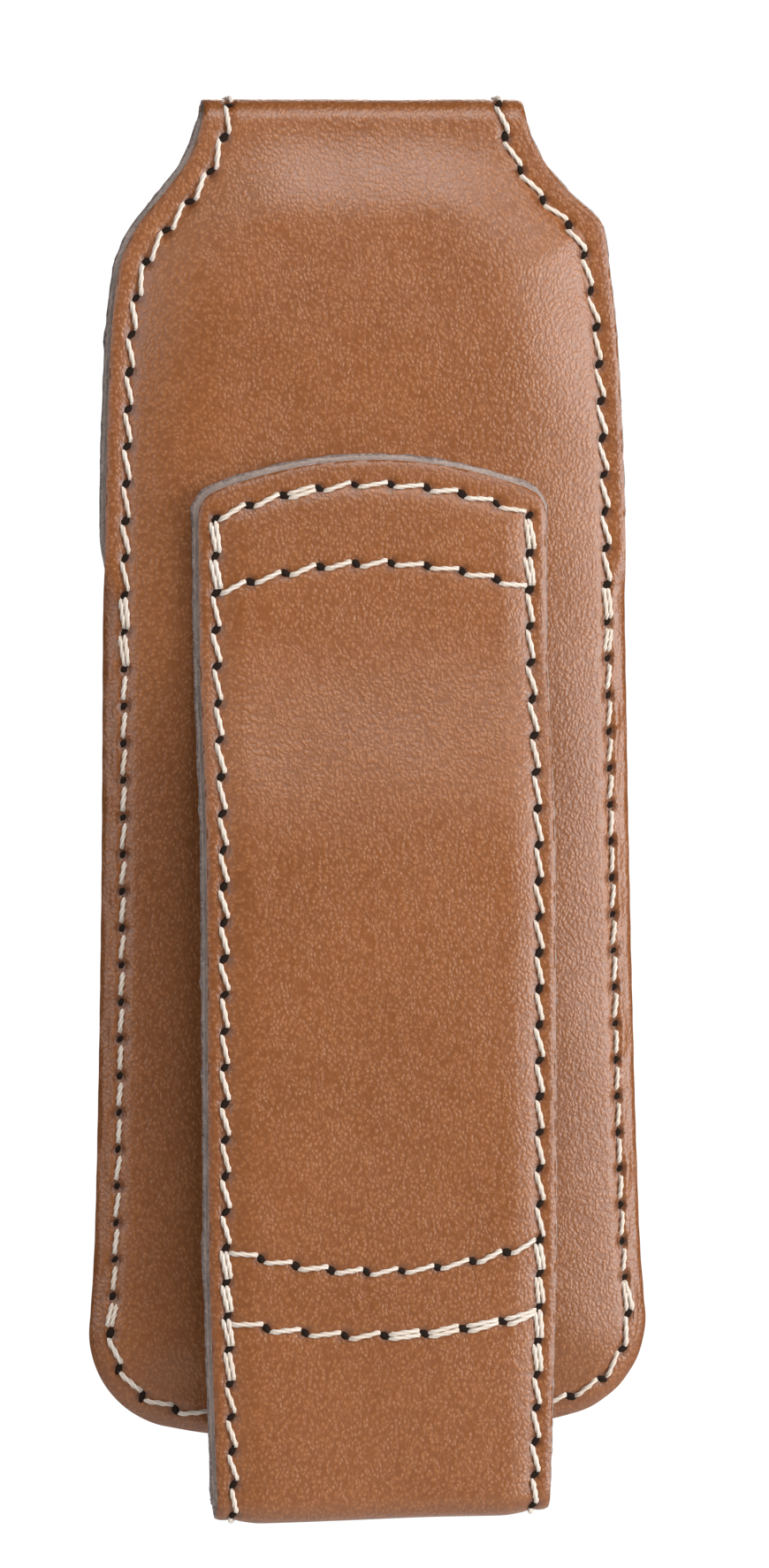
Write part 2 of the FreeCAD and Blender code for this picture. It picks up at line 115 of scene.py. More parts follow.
class Wire:
    """A socket in a node tree. Arithmetic on it adds Math nodes."""

    def __init__(self, tree, socket):
        self.tree = tree
        self.socket = socket

    def math(self, operation, *others):
        return node(self.tree, "ShaderNodeMath", {"operation": operation}, (self, *others))

    def __add__(self, other):
        return self.math("ADD", other)

    def __sub__(self, other):
        return self.math("SUBTRACT", other)

    def __mul__(self, other):
        return self.math("MULTIPLY", other)

    def __truediv__(self, other):
        return self.math("DIVIDE", other)

    def __pow__(self, other):
        return self.math("POWER", other)

    def __rsub__(self, other):
        return node(self.tree, "ShaderNodeMath", {"operation": "SUBTRACT"}, (other, self))

    __radd__ = __add__

    def span(self, low, high):
        """0 at low, 1 at high, clamped."""
        return node(self.tree, "ShaderNodeMapRange", {"clamp": True}, (self, low, high, 0.0, 1.0))

    def tint(self, low, high):
        """Colour low where this is 0, colour high where it is 1."""
        return node(
            self.tree, "ShaderNodeMix", {"data_type": "RGBA"}, {0: self, 6: low, 7: high}, 2
        )


def node(tree, kind, settings=None, values=(), output=0):
    """Adds a node: its settings first, then its inputs, by order or by index or name."""
    made = tree.nodes.new(kind)
    for key, value in (settings or {}).items():
        setattr(made, key, value)
    pairs = values.items() if isinstance(values, dict) else enumerate(values)
    for key, value in pairs:
        if isinstance(value, Wire):
            tree.links.new(value.socket, made.inputs[key])
        elif value is not None:
            made.inputs[key].default_value = value
    return Wire(tree, made.outputs[output])


def finish_of(colour, roughness, bump=None, depth=0.0, **constants):
    """A Principled material from wires; constants go straight on the shader's own sockets."""
    tree = colour.tree
    shader = tree.nodes.new("ShaderNodeBsdfPrincipled")
    for key, value in constants.items():
        shader.inputs[key.replace("_", " ")].default_value = value
    tree.links.new(colour.socket, shader.inputs["Base Color"])
    if isinstance(roughness, Wire):
        tree.links.new(roughness.socket, shader.inputs["Roughness"])
    else:
        shader.inputs["Roughness"].default_value = roughness
    if bump is not None:
        lit = node(tree, "ShaderNodeBump", None, {"Distance": depth, "Height": bump, "Strength": 1.0})
        tree.links.new(lit.socket, shader.inputs["Normal"])
    sink = tree.nodes.new("ShaderNodeOutputMaterial")
    tree.links.new(shader.outputs[0], sink.inputs[0])
    return shader


def new_material(name):
    material = bpy.data.materials.new(name)
    material.use_nodes = True
    material.node_tree.nodes.clear()
    return material, material.node_tree


def object_place(tree):
    return node(tree, "ShaderNodeTexCoord", output="Object")


def noise(place, size_mm, detail=3.0, roughness=0.55):
    """Soft noise whose features are about size_mm across."""
    values = {"Vector": place, "Scale": 1.0 / (size_mm * MM), "Detail": detail, "Roughness": roughness}
    return node(place.tree, "ShaderNodeTexNoise", None, values)


def marked(tree, name):
    """A number that the mesh carries at each of its points."""
    return node(tree, "ShaderNodeAttribute", {"attribute_name": name}, output="Fac")


def scaled(place, factors):
    """Places stretched by a factor along each axis."""
    return node(place.tree, "ShaderNodeVectorMath", {"operation": "MULTIPLY"}, (place, factors))


def floor_material():
    """Pale floor that fades away round the case, into the white air of the studio."""
    material, tree = new_material("studio_floor")
    place = object_place(tree)
    reach = node(tree, "ShaderNodeVectorMath", {"operation": "LENGTH"}, (place,), 1)
    colour = noise(place, 60.0).tint((0.92, 0.92, 0.915, 1), (0.95, 0.95, 0.945, 1))
    shader = finish_of(colour, 0.8)
    tree.links.new(reach.span(0.24, 0.12).socket, shader.inputs["Alpha"])
    return material


floor_mesh = bpy.data.meshes.new("studio_floor")
floor_form = bmesh.new()
bmesh.ops.create_circle(floor_form, cap_ends=True, radius=0.3, segments=64)
bmesh.ops.translate(floor_form, verts=floor_form.verts, vec=(0, 0, (FOLD_FOOT - 45.0) * MM))
floor_form.to_mesh(floor_mesh)
floor_form.free()
floor_mesh.materials.append(floor_material())
floor = shown("studio_floor", floor_mesh)
floor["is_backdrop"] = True

world = bpy.data.worlds.new("studio_air")
world.use_nodes = True
bpy.context.scene.world = world
air = world.node_tree
seen = node(air, "ShaderNodeLightPath", output="Is Camera Ray")
air.links.new((0.07 + seen * 0.98).socket, air.nodes["Background"].inputs["Strength"])
air.nodes["Background"].inputs["Color"].default_value = (1.0, 1.0, 1.0, 1.0)
bpy.context.scene.view_settings.view_transform = "Standard"

# ------------------------------
# Back panel. Smooth tan cowhide, 1.3 mm thick, cut in one piece with the neck. Its middle is
# shaped outwards by what the pocket holds, and its neck is folded over the top to the front.
LEATHER = 1.3
LINING = 0.9
WALL = LEATHER + LINING
FLANGE_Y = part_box("back_panel")[0].y / MM + 1.2  # outer face at the sewn edge
FOLD_TOP = case_high[2] - FOLD_FOOT
FOLD_R = 2.35
FOLD_H = FOLD_TOP - FOLD_R
FOLD_LENGTH = math.pi * FOLD_R
BUTT = 0.78 * FOLD_LENGTH  # where the flap's own piece takes over
MOUTH_H = 91.5
NECK = 15.9
BULGE = 1.2  # how far the pocket's load pushes the back out
SHOULDER_BULGE = 0.7  # more of it, above the strap
CROWN_RIM = 2.2  # flat flange beside the bulge
CROWN_RUN = 9.5
RIGHT_SIDE = [(15.9, 160), (15.9, 139), (16.2, 136.6), (17.6, 133.4), (20.3, 130.1), (23.8, 126.5),
              (24.3, 123.0), (25.2, 114.3), (25.9, 97.0), (26.5, 62.0), (27.4, 27.4), (27.9, 19.6)]
LEFT_SIDE = [(15.9, 160), (15.9, 139), (16.3, 136.6), (17.5, 133.4), (19.9, 130.1), (22.8, 126.5),
             (24.5, 122.6), (25.4, 114.3), (26.0, 97.0), (26.5, 62.0), (27.4, 27.4), (27.9, 19.6)]


def ease(t):
    t = np.clip(t, 0.0, 1.0)
    return t * t * (3.0 - 2.0 * t)


def hump(t):
    return np.exp(-t * t)


def bow(points, heights):
    """Widths at heights on a smooth line through (width, height) points, highest first."""
    h = np.array([p[1] for p in points][::-1], float)
    w = np.array([p[0] for p in points][::-1], float)
    slope = np.diff(w) / np.diff(h)
    tangent = np.zeros(len(h))
    same = slope[1:] * slope[:-1] > 0
    safe = np.where(same, slope[1:] + slope[:-1], 1.0)
    tangent[1:-1] = np.where(same, 2 * slope[1:] * slope[:-1] / safe, 0.0)
    tangent[0], tangent[-1] = slope[0], slope[-1]
    k = np.clip(np.searchsorted(h, heights) - 1, 0, len(h) - 2)
    gap = h[k + 1] - h[k]
    t = (heights - h[k]) / gap
    return (
        (2 * t**3 - 3 * t**2 + 1) * w[k] + (t**3 - 2 * t**2 + t) * gap * tangent[k]
        + (3 * t**2 - 2 * t**3) * w[k + 1] + (t**3 - t**2) * gap * tangent[k + 1]
    )


def arc(a, mid, b, count=40):
    """Points on the circle through three points, from a to b."""
    (ax, ay), (mx, my), (bx, by) = a, mid, b
    d = 2 * (ax * (my - by) + mx * (by - ay) + bx * (ay - my))
    ux = ((ax**2 + ay**2) * (my - by) + (mx**2 + my**2) * (by - ay) + (bx**2 + by**2) * (ay - my)) / d
    uy = ((ax**2 + ay**2) * (bx - mx) + (mx**2 + my**2) * (ax - bx) + (bx**2 + by**2) * (mx - ax)) / d
    start = math.atan2(ay - uy, ax - ux)
    sweep = (math.atan2(by - uy, bx - ux) - start + math.pi) % (2 * math.pi) - math.pi
    angle = start + sweep * np.linspace(0, 1, count)
    radius = math.hypot(ax - ux, ay - uy)
    return np.stack([ux + radius * np.cos(angle), uy + radius * np.sin(angle)], 1)


def along(line, shares):
    """Points at shares of a line's length."""
    run = np.concatenate([[0], np.cumsum(np.linalg.norm(np.diff(line, axis=0), axis=1))])
    return np.stack([np.interp(shares * run[-1], run, line[:, k]) for k in range(line.shape[1])], 1)


def length_of(line):
    return float(np.linalg.norm(np.diff(line, axis=0), axis=1).sum())


def even(line, step):
    """The line again, with points a step apart."""
    return along(line, np.linspace(0, 1, max(2, round(length_of(line) / step) + 1)))


def nearest(points, line):
    """Distance from each plan point to a line's nearest point, and that point's index."""
    search = KDTree(len(line))
    for index, (x, y) in enumerate(line):
        search.insert((x, y, 0.0), index)
    search.balance()
    found = [search.find((x, y, 0.0)) for x, y in points]
    return np.array([hit[2] for hit in found]), np.array([hit[1] for hit in found])


def inset(line, margin):
    """The line moved to its left by a margin, which may differ along it."""
    run = np.gradient(line, axis=0)
    run /= np.linalg.norm(run, axis=1)[:, None]
    return line + np.stack([-run[:, 1], run[:, 0]], 1) * np.reshape(margin, (-1, 1))


side_h = np.linspace(FOLD_H + BUTT, 19.6, 500)
left_side = np.stack([-bow(LEFT_SIDE, side_h), side_h], 1)
right_side = np.stack([bow(RIGHT_SIDE, side_h), side_h], 1)[::-1]
base_left = arc((-27.9, 19.6), (-26.3, 12.4), (-20.4, 8.4))
base = arc((-20.4, 8.4), (0, 6.2), (20.4, 8.4), 80)
base_right = arc((20.4, 8.4), (26.3, 12.4), (27.9, 19.6))
case_edge = even(np.vstack([left_side, base_left[1:], base[1:], base_right[1:], right_side[1:]]), 0.2)
seam_margin = 2.0 + 0.5 * ease((case_edge[:, 1] - 116.0) / 12.0)
case_seam = even(inset(case_edge, seam_margin), 0.1)
PITCH = 3.65


def holes_along(line, pitch=PITCH):
    """Needle holes along a line, about a pitch apart, from its first point to its last."""
    return along(line, np.linspace(0, 1, round(length_of(line) / pitch) + 1))


case_holes = holes_along(case_seam)


def sewn(points, line, holes, groove=0.16, pit=0.24):
    """How deep a seam pulls the leather in: a groove along it, and a dimple at each hole."""
    off, _ = nearest(points, line)
    near_hole, _ = nearest(points, holes)
    return groove * hump(off / 0.55) + pit * hump(near_hole / 0.5)


def waves(x, h, size, seed):
    """Gentle unevenness of handmade leather, about size mm across, between -1 and 1."""
    turned = 0.37 * seed
    a = np.sin((x * math.cos(turned) + h * math.sin(turned)) * 6.283 / size + seed)
    b = np.sin((h * math.cos(turned) - x * math.sin(turned)) * 6.283 / (1.37 * size) + 2.1 * seed)
    c = np.sin((x + h) * 6.283 / (0.61 * size) + 3.3 * seed)
    return (a * b + 0.5 * c * a) / 1.5


def droop(h, edge):
    """How far the sewn flange beside the pocket bends to the front, outside its seam."""
    return 1.25 * ease((MOUTH_H + 4.0 - h) / 7.0) * np.clip(1.0 - edge / 2.2, 0, 1) ** 1.6


def flange_wrinkles(x, h, edge):
    """Lengthwise wrinkles where the flange is squeezed beside the pocket."""
    strength = ease((MOUTH_H - h) / 10.0) * ease((h - 12.0) / 10.0) * hump((edge - 0.9) / 0.8)
    wander = 0.9 * np.sin(h * 0.43) + 0.6 * np.sin(h * 0.97 + np.sign(x))
    return 0.13 * strength * np.sin(edge * 5.2 + wander)


def edge_pinch(edge):
    """The cut edge is pressed a little thinner than the rest."""
    return 0.22 * np.clip(1.0 - edge / 0.45, 0, 1) ** 2


def back_face(points, relief=True):
    """Outer face of the back panel at plan points (x, height), the fold as its length."""
    x, h = points[:, 0], points[:, 1]
    edge, _ = nearest(points, case_edge)
    crown = 1.0 - (1.0 - np.clip((edge - CROWN_RIM) / CROWN_RUN, 0, 1)) ** 2
    crown *= ease((137.0 - h) / 10.0) * ease((h - 7.5) / 9.0)
    out = (BULGE + SHOULDER_BULGE * ease((h - 104.0) / 14.0)) * crown
    out += 0.10 * waves(x, h, 31.0, 1.0) * ease(edge / 8.0) - droop(h, edge)
    if relief:
        sunk = ease((MOUTH_H - h) / 6.0) * ease((h - 18.0) / 6.0)
        out -= sewn(points, case_seam[::3], case_holes) * (1.0 + 0.9 * sunk)
        out += flange_wrinkles(x, h, edge) - edge_pinch(edge)
    angle = np.clip((h - FOLD_H) / FOLD_R, 0, None)
    y = FLANGE_Y + FOLD_R - (FOLD_R + out) * np.cos(angle)
    z = np.minimum(h, FOLD_H) + (FOLD_R + out) * np.sin(angle)
    return np.stack([x, y, z + FOLD_FOOT], 1)


def plan_grid(left, right, low, high, columns, rows):
    """Plan points between four edge lines: rows from low to high, columns from left to right."""
    u, v = columns[None, :, None], rows[:, None, None]
    side_l, side_r = along(left, rows)[:, None, :], along(right, rows)[:, None, :]
    side_b, side_t = along(low, columns)[None, :, :], along(high, columns)[None, :, :]
    blend = (1 - u) * side_l + u * side_r + (1 - v) * side_b + v * side_t
    corners = (1 - u) * (1 - v) * low[0] + u * (1 - v) * low[-1] + (1 - u) * v * high[0] + u * v * high[-1]
    return blend - corners


def crowded(width, fine, zone, coarse):
    """Shares across a width: a fine step within a zone at both ends, a coarse one between."""
    ends = np.linspace(0, zone, round(zone / fine) + 1)
    middle = np.linspace(zone, width - zone, round((width - 2 * zone) / coarse) + 1)
    return np.concatenate([ends, middle[1:-1], width - ends[::-1]]) / width


def normals(grid):
    """Unit normals of a grid of points, from the faces round each point."""
    face = np.cross(grid[1:, 1:] - grid[:-1, :-1], grid[1:, :-1] - grid[:-1, 1:])
    total = np.zeros_like(grid)
    total[:-1, :-1] += face
    total[1:, :-1] += face
    total[:-1, 1:] += face
    total[1:, 1:] += face
    for row, inner_row in ((0, 2), (-1, -3)):  # a flat corner has no face of its own to go by
        for column, inner_column in ((0, 2), (-1, -3)):
            total[row, column] = total[inner_row, inner_column]
    return total / (np.linalg.norm(total, axis=2)[:, :, None] + 1e-12)


def ring_of(grid):
    """The border of a grid, once round."""
    return np.concatenate([grid[0, :], grid[1:, -1], grid[-1, -2::-1], grid[-2:0:-1, 0]])


def layer(plan, face, side, near, far, lean=0.0, relief=True, level=0.0):
    """Near and far grids of a layer that lies between two depths under a face.

    side is 1 where plan x, plan y and the outward normal turn right-handed, else -1. The border
    moves outwards with depth, by lean over the whole wall. Depth is taken along Y where level is
    1. The third result is the way outwards.
    """
    shape = plan.shape[:2]
    skin = face(plan.reshape(-1, 2), relief).reshape(*shape, 3)
    share = np.broadcast_to(level, shape)[:, :, None]
    inward = -side * normals(skin) * (1.0 - share) + np.array((0.0, side, 0.0)) * share
    ring = ring_of(np.arange(shape[0] * shape[1]).reshape(shape))
    border = skin.reshape(-1, 3)[ring]
    run = np.roll(border, -1, axis=0) - np.roll(border, 1, axis=0)
    outward = np.cross(run, inward.reshape(-1, 3)[ring])
    outward /= np.linalg.norm(outward, axis=1)[:, None] + 1e-12
    outward *= np.sign((outward * (border - border.mean(axis=0))).sum())
    share = np.broadcast_to(lean, shape).reshape(-1)[ring][:, None] / WALL
    sheets = []
    for depth in (near, far):
        sheet = (skin + inward * depth).reshape(-1, 3)
        sheet[ring] += outward * share * depth
        sheets.append(sheet.reshape(*shape, 3))
    return sheets[0], sheets[1], outward


def closed_sheet(name, sheets, materials, belly=0.1, edge=None, hole=None):
    """Solid sheet between two grids in mm, its rim swelled by belly.

    The materials are those of the near face, the rim and the far face. edge and hole are the
    distances of each grid point from the cut edge and from a needle hole.
    """
    front, back, outward = sheets
    rows, columns = front.shape[:2]
    front_rim, back_rim = ring_of(front), ring_of(back)
    shares = (0.0, 0.14, 0.36, 0.64, 0.86, 1.0)
    fray = np.random.default_rng(len(name))
    loops = []
    for t in shares[1:-1]:
        frayed = belly * math.sin(math.pi * t) ** 0.6 + 0.05 * fray.standard_normal((len(outward), 1))
        loops.append(front_rim * (1 - t) + back_rim * t + outward * frayed)
    count = rows * columns
    points = np.concatenate([front.reshape(-1, 3), back.reshape(-1, 3)] + loops) * MM
    number = np.arange(count).reshape(rows, columns)
    quads = np.stack([number[:-1, :-1], number[:-1, 1:], number[1:, 1:], number[1:, :-1]], 2).reshape(-1, 4)
    ring = ring_of(number)
    size = len(ring)
    lines = [ring] + [2 * count + k * size + np.arange(size) for k in range(len(loops))] + [ring + count]
    rim = []
    for near, far in zip(lines, lines[1:]):
        rim.append(np.stack([near, np.roll(near, -1), np.roll(far, -1), far], 1))
    rim = np.concatenate(rim)
    faces = np.concatenate([quads, quads[:, ::-1] + count, rim[:, ::-1]])
    mesh = bpy.data.meshes.new(name)
    mesh.from_pydata(points.tolist(), [], faces.tolist())
    kind = np.concatenate([np.zeros(len(quads)), np.full(len(quads), 2), np.ones(len(rim))])
    for material in materials:
        mesh.materials.append(material)
    mesh.polygons.foreach_set("material_index", kind.astype(np.int32))
    mesh.polygons.foreach_set("use_smooth", np.ones(len(faces), bool))
    depth = np.concatenate([np.zeros(count), np.ones(count), np.repeat(shares[1:-1], size)])
    mesh.attributes.new("depth", "FLOAT", "POINT").data.foreach_set("value", depth.astype(np.float32))
    for label, value, rest in (("edge", edge, 0.0), ("hole", hole, 9.0)):
        if value is not None:
            full = np.concatenate([value.ravel(), value.ravel(), np.full(size * len(loops), rest)])
            mesh.attributes.new(label, "FLOAT", "POINT").data.foreach_set("value", full.astype(np.float32))
    form = bmesh.new()
    form.from_mesh(mesh)
    bmesh.ops.recalc_face_normals(form, faces=form.faces)
    form.to_mesh(mesh)
    form.free()
    mesh.set_sharp_from_angle(angle=math.radians(55))
    return shown(name, mesh)


def stand_for(piece, slot, body, *nodes):
    """The piece takes the place of CAD nodes: it goes on the body named by a string, and only has its
    transform baked for any other body. slot is not used.
    """
    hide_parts(*nodes)
    if isinstance(body, str):
        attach(piece, body)
    else:
        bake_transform(piece)


def leather_material(name, dark_tone_and_crease_shade, base, painted_glint):
    """Smooth-finished cowhide: fine stretched pebbles with painted shade in their creases and painted
    highlights on their tops, cloudy colour, darker towards its cut edge, painted shade round its needle
    holes.
    """
    material, tree = new_material(name)
    place = object_place(tree)
    drift = node(tree, "ShaderNodeTexNoise", None, {"Vector": place, "Scale": 420.0, "Detail": 3.0}, 1)
    drifted = node(
        tree, "ShaderNodeVectorMath", {"operation": "MULTIPLY_ADD"},
        {0: drift, 1: (1.1 * MM, 1.1 * MM, 1.1 * MM), 2: place},
    )
    stretched = scaled(drifted, (1.0, 1.0, 0.8))
    cells = node(tree, "ShaderNodeTexVoronoi", {"feature": "F1"}, {"Vector": stretched, "Scale": 2900.0})
    pebble = cells.span(0.72, 0.12)
    fine = noise(drifted, 0.22, 3.0, 0.6).span(0.25, 0.75)
    cloud = noise(place, 15.0, 4.0).span(0.3, 0.7)
    mottle = noise(place, 2.6, 4.0, 0.65).span(0.25, 0.75)
    worn = marked(tree, "edge").span(1.3, 0.0) * (0.22 + mottle * 0.2)
    grain = pebble * 0.62 + fine * 0.38
    # skin runs from the darker tone to the base by cloud, mottle and grain: cloud and mottle are the
    # leather's own tone, the grain part is painted shade in the creases between pebbles
    skin = (cloud * 0.2 + mottle * 0.1 + grain * 0.7).tint(dark_tone_and_crease_shade, base)
    # Painted highlight: the pebble tops are tinted towards the lighter glint colour, standing in for light
    # glinting on them.
    lit = (grain.span(0.55, 0.9) * 0.35).tint(skin, painted_glint)
    dark = worn.tint((1, 1, 1, 1), (0.66, 0.56, 0.5, 1))
    # Painted shade: the leather is darkened within about a millimetre of each needle hole, standing in for
    # the shade in the hole and its dimple.
    hole_shade = marked(tree, "hole").span(0.95, 0.3) * 0.75
    rough = 0.30 + pebble * 0.04 + mottle * 0.05
    height = grain + mottle * 0.25
    colour = multiplied(multiplied(lit, dark, 1.0), (0.25, 0.17, 0.12, 1), hole_shade)
    gloss = {"Specular_IOR_Level": 0.5, "Coat_Weight": 0.05, "Coat_Roughness": 0.3}
    finish_of(colour, rough, height, 0.05 * MM, **gloss)
    return material


def multiplied(one, other, share):
    """One colour times another, by a share."""
    settings = {"data_type": "RGBA", "blend_type": "MULTIPLY"}
    return node(one.tree, "ShaderNodeMix", settings, {0: share, 6: one, 7: other}, 2)


def raw_edge_material():
    """Cut edge and flesh side: grey, fibrous, unfinished, pale just under the grain."""
    material, tree = new_material("raw_edge")
    place = object_place(tree)
    combed = scaled(place, (1.0, 0.3, 1.0))
    fibre = noise(combed, 0.34, 5.0, 0.78).span(0.36, 0.64)
    blotch = noise(place, 2.3, 3.0).span(0.3, 0.7)
    colour = (fibre * 0.8 + blotch * 0.2).tint((0.15, 0.105, 0.095, 1), (0.68, 0.56, 0.52, 1))
    pale = marked(tree, "depth").span(0.26, 0.1) * (0.35 + blotch * 0.4)
    colour = pale.tint(colour, (0.72, 0.58, 0.51, 1))
    finish_of(colour, 0.92, fibre, 0.2 * MM, Specular_IOR_Level=0.15)
    return material


# Colours: the darker tone, which is also painted shade in the grain's creases; the base; and the painted
# highlight colour of the pebble tops.
TAN = leather_material(
    "tan_leather", (0.145, 0.044, 0.010, 1), (0.285, 0.101, 0.030, 1), (0.39, 0.175, 0.07, 1)
)
RAW = raw_edge_material()

u_case = crowded(53.0, 0.36, 6.5, 0.9)
case_left = even(np.vstack([base_left[20::-1], left_side[::-1]]), 0.25)
case_right = even(np.vstack([base_right[19:], right_side]), 0.25)


def case_grid(top, fine):
    """Plan grid of the case's outline up to a height."""
    left, right = case_left[case_left[:, 1] <= top], case_right[case_right[:, 1] <= top]
    low = even(np.vstack([base_left[20:], base[1:], base_right[1:20]]), 0.25)
    high = np.array([(left[-1, 0], top), (right[-1, 0], top)])
    left, right = np.vstack([left[:-1], high[:1]]), np.vstack([right[:-1], high[1:]])
    return plan_grid(left, right, low, high, u_case, np.linspace(0, 1, round(length_of(left) / fine) + 1))


def edge_of(plan, line):
    """Distance of each point of a plan grid from an edge line."""
    return nearest(plan.reshape(-1, 2), line)[0].reshape(plan.shape[:2])


def neck_lean(plan):
    """Above the pocket the cut edge leans outwards with its depth."""
    return 0.35 * ease((plan[:, :, 1] - MOUTH_H) / 8.0)


back_plan = case_grid(FOLD_H + BUTT, 0.42)
sheets = layer(back_plan, back_face, 1, 0.0, LEATHER, neck_lean(back_plan))
back_rim = edge_of(back_plan, case_edge)
back_panel = closed_sheet("back_panel_leather", sheets, (TAN, RAW, RAW), 0.1, back_rim,
                          edge_of(back_plan, case_holes))
stand_for(back_panel, "leather", "case", "back_panel")

# ------------------------------
# Back lining. Thin split leather glued to the whole inside of the back panel and the fold.
def lining_material():
    material, tree = new_material("lining_suede")
    place = object_place(tree)
    nap = noise(place, 0.5, 4.0, 0.7).span(0.3, 0.7)
    cloud = noise(place, 9.0, 3.0).span(0.3, 0.7)
    colour = (nap * 0.5 + cloud * 0.5).tint((0.17, 0.105, 0.07, 1), (0.26, 0.17, 0.12, 1))
    finish_of(colour, 0.9, nap, 0.06 * MM, Specular_IOR_Level=0.2, Sheen_Weight=0.2)
    return material


SUEDE = lining_material()
lining_plan = case_grid(FOLD_H + BUTT, 0.9)
sheets = layer(lining_plan, back_face, 1, LEATHER, WALL, neck_lean(lining_plan), False)
back_lining = closed_sheet("back_panel_lining", sheets, (RAW, RAW, SUEDE), 0.08)
stand_for(back_lining, "lining", "case", "back_lining")

# ------------------------------
# Pocket. The same cowhide, wet-shaped over a block so that it stands out from the back, and sewn
# to the back panel round its flange. Its top edge is cut straight across.
POCKET_DEPTH = 10.8
POCKET_TUCK = 1.1  # how far its flange stays inside the back's edge
MOUTH_SEAM_H = MOUTH_H - 2.4
mouth_holes = holes_along(np.array([(-19.0, MOUTH_SEAM_H), (19.0, MOUTH_SEAM_H)]))


def pocket_face(points, relief=True):
    """Outer face of the pocket at plan points (x, height)."""
    x, h = points[:, 0], points[:, 1]
    edge, _ = nearest(points, case_edge)
    beside = bow(RIGHT_SIDE, np.clip(h, 19.6, None)) - np.abs(x)
    swell = ease((beside - 2.4) / 11.0) * ease((h - 8.6) / 14.0)
    out = POCKET_DEPTH * swell + 0.12 * waves(x, h, 27.0, 2.0) * ease(edge / 8.0) + droop(h, edge)
    if relief:
        out -= sewn(points, case_seam[::3], case_holes)
        out -= sewn(points, even(mouth_holes, 0.3), mouth_holes)
        out -= edge_pinch(edge) + edge_pinch(MOUTH_H - h)
    return np.stack([x, FLANGE_Y + 2 * WALL + out, h + FOLD_FOOT], 1)


def tucked(plan):
    """The plan grid with its border drawn in, so that the back panel's edge rolls over it."""
    flat = plan.reshape(-1, 2)
    edge, index = nearest(flat, case_edge)
    way = inset(case_edge, 1.0) - case_edge
    reach = POCKET_TUCK * np.clip(1.0 - edge / 3.5, 0, 1)
    return (flat + way[index] * reach[:, None]).reshape(plan.shape)


def flange(plan):
    """1 at the sewn flange, 0 on the pocket's wall."""
    return ease((3.5 - edge_of(plan, case_edge)) / 2.0)


pocket_plan = tucked(case_grid(MOUTH_H, 0.5))
sheets = layer(pocket_plan, pocket_face, -1, 0.0, LEATHER, level=flange(pocket_plan))
pocket_rim = edge_of(pocket_plan, case_edge) - POCKET_TUCK
pocket = closed_sheet("pocket_leather", sheets, (TAN, RAW, RAW), 0.1, pocket_rim,
                      edge_of(pocket_plan, np.vstack([case_holes, mouth_holes])))
stand_for(pocket, "leather", "case", "pocket_panel")

# ------------------------------
# Pocket lining. Thin split leather glued inside the pocket before it is sewn on.
pocket_lining_plan = tucked(case_grid(MOUTH_H, 1.0))
sheets = layer(pocket_lining_plan, pocket_face, -1, LEATHER, WALL, 0.0, False, flange(pocket_lining_plan))
pocket_lining = closed_sheet("pocket_lining", sheets, (RAW, RAW, SUEDE), 0.08)
stand_for(pocket_lining, "lining", "case", "pocket_lining")

# ------------------------------
# Flap. The neck of the back panel goes on over the fold and down over the pocket as a tongue with
# a round end. The leather bends where it leaves the fold.
TONGUE_END_H = 52.0
TONGUE_ROUND = 13.0
TONGUE_REACH = FOLD_H - TONGUE_END_H
TONGUE_STEP = 14.7  # how far it comes forward to lie on the pocket
STEP_RUN = 43.65
flap_start = FOLD_H + BUTT
flap_end = FOLD_H + FOLD_LENGTH + TONGUE_REACH
shoulder = NECK - TONGUE_ROUND
round_middle = (-shoulder - 0.7071 * TONGUE_ROUND, flap_end - 0.2929 * TONGUE_ROUND)
round_left = arc((-NECK, flap_end - TONGUE_ROUND), round_middle, (-shoulder, flap_end))
round_right = (round_left * (-1, 1))[::-1]
flap_edge = even(np.vstack([[(-NECK, flap_start)], round_left, round_right, [(NECK, flap_start)]]), 0.2)
flap_seam = even(inset(flap_edge, -2.5), 0.2)
flap_holes = holes_along(flap_seam)


def flap_face(points, relief=True):
    """Outer face of the flap at plan points (x, length from the back over the fold)."""
    x, run = points[:, 0], points[:, 1]
    angle = np.clip((run - FOLD_H) / FOLD_R, 0, math.pi)
    down = np.clip(run - FOLD_H - FOLD_LENGTH, 0, None)
    share = np.clip((down - 0.3) / STEP_RUN, 0, 1)
    slope = TONGUE_STEP * 6.0 * share * (1.0 - share) / STEP_RUN
    edge, _ = nearest(points, flap_edge)
    out = 0.10 * waves(x, run, 24.0, 3.0) * ease(edge / 8.0) * ease(down / 12.0)
    if relief:
        out -= sewn(points, flap_seam, flap_holes) + edge_pinch(edge)
    stretch = np.sqrt(1.0 + slope**2)
    over_y = np.where(down > 0, 1.0 / stretch, -np.cos(angle))
    over_z = np.where(down > 0, slope / stretch, np.sin(angle))
    y = FLANGE_Y + FOLD_R - FOLD_R * np.cos(angle) + TONGUE_STEP * ease(share) + out * over_y
    z = FOLD_H + FOLD_R * np.sin(angle) - down + out * over_z
    return np.stack([x, y, z + FOLD_FOOT], 1)


def flap_grid(fine):
    middle = len(round_left) // 2
    left = np.vstack([[(-NECK, flap_start)], round_left[:middle + 1]])
    right = left * (-1, 1)
    high = np.vstack([round_left[middle:], round_right[:len(round_right) - middle]])
    low = np.array([(-NECK, flap_start), (NECK, flap_start)])
    columns = crowded(2 * NECK, fine, 5.0, 2.0 * fine)
    rows = np.linspace(0, 1, round(length_of(left) / fine))
    return plan_grid(left, right, low, high, columns, rows)


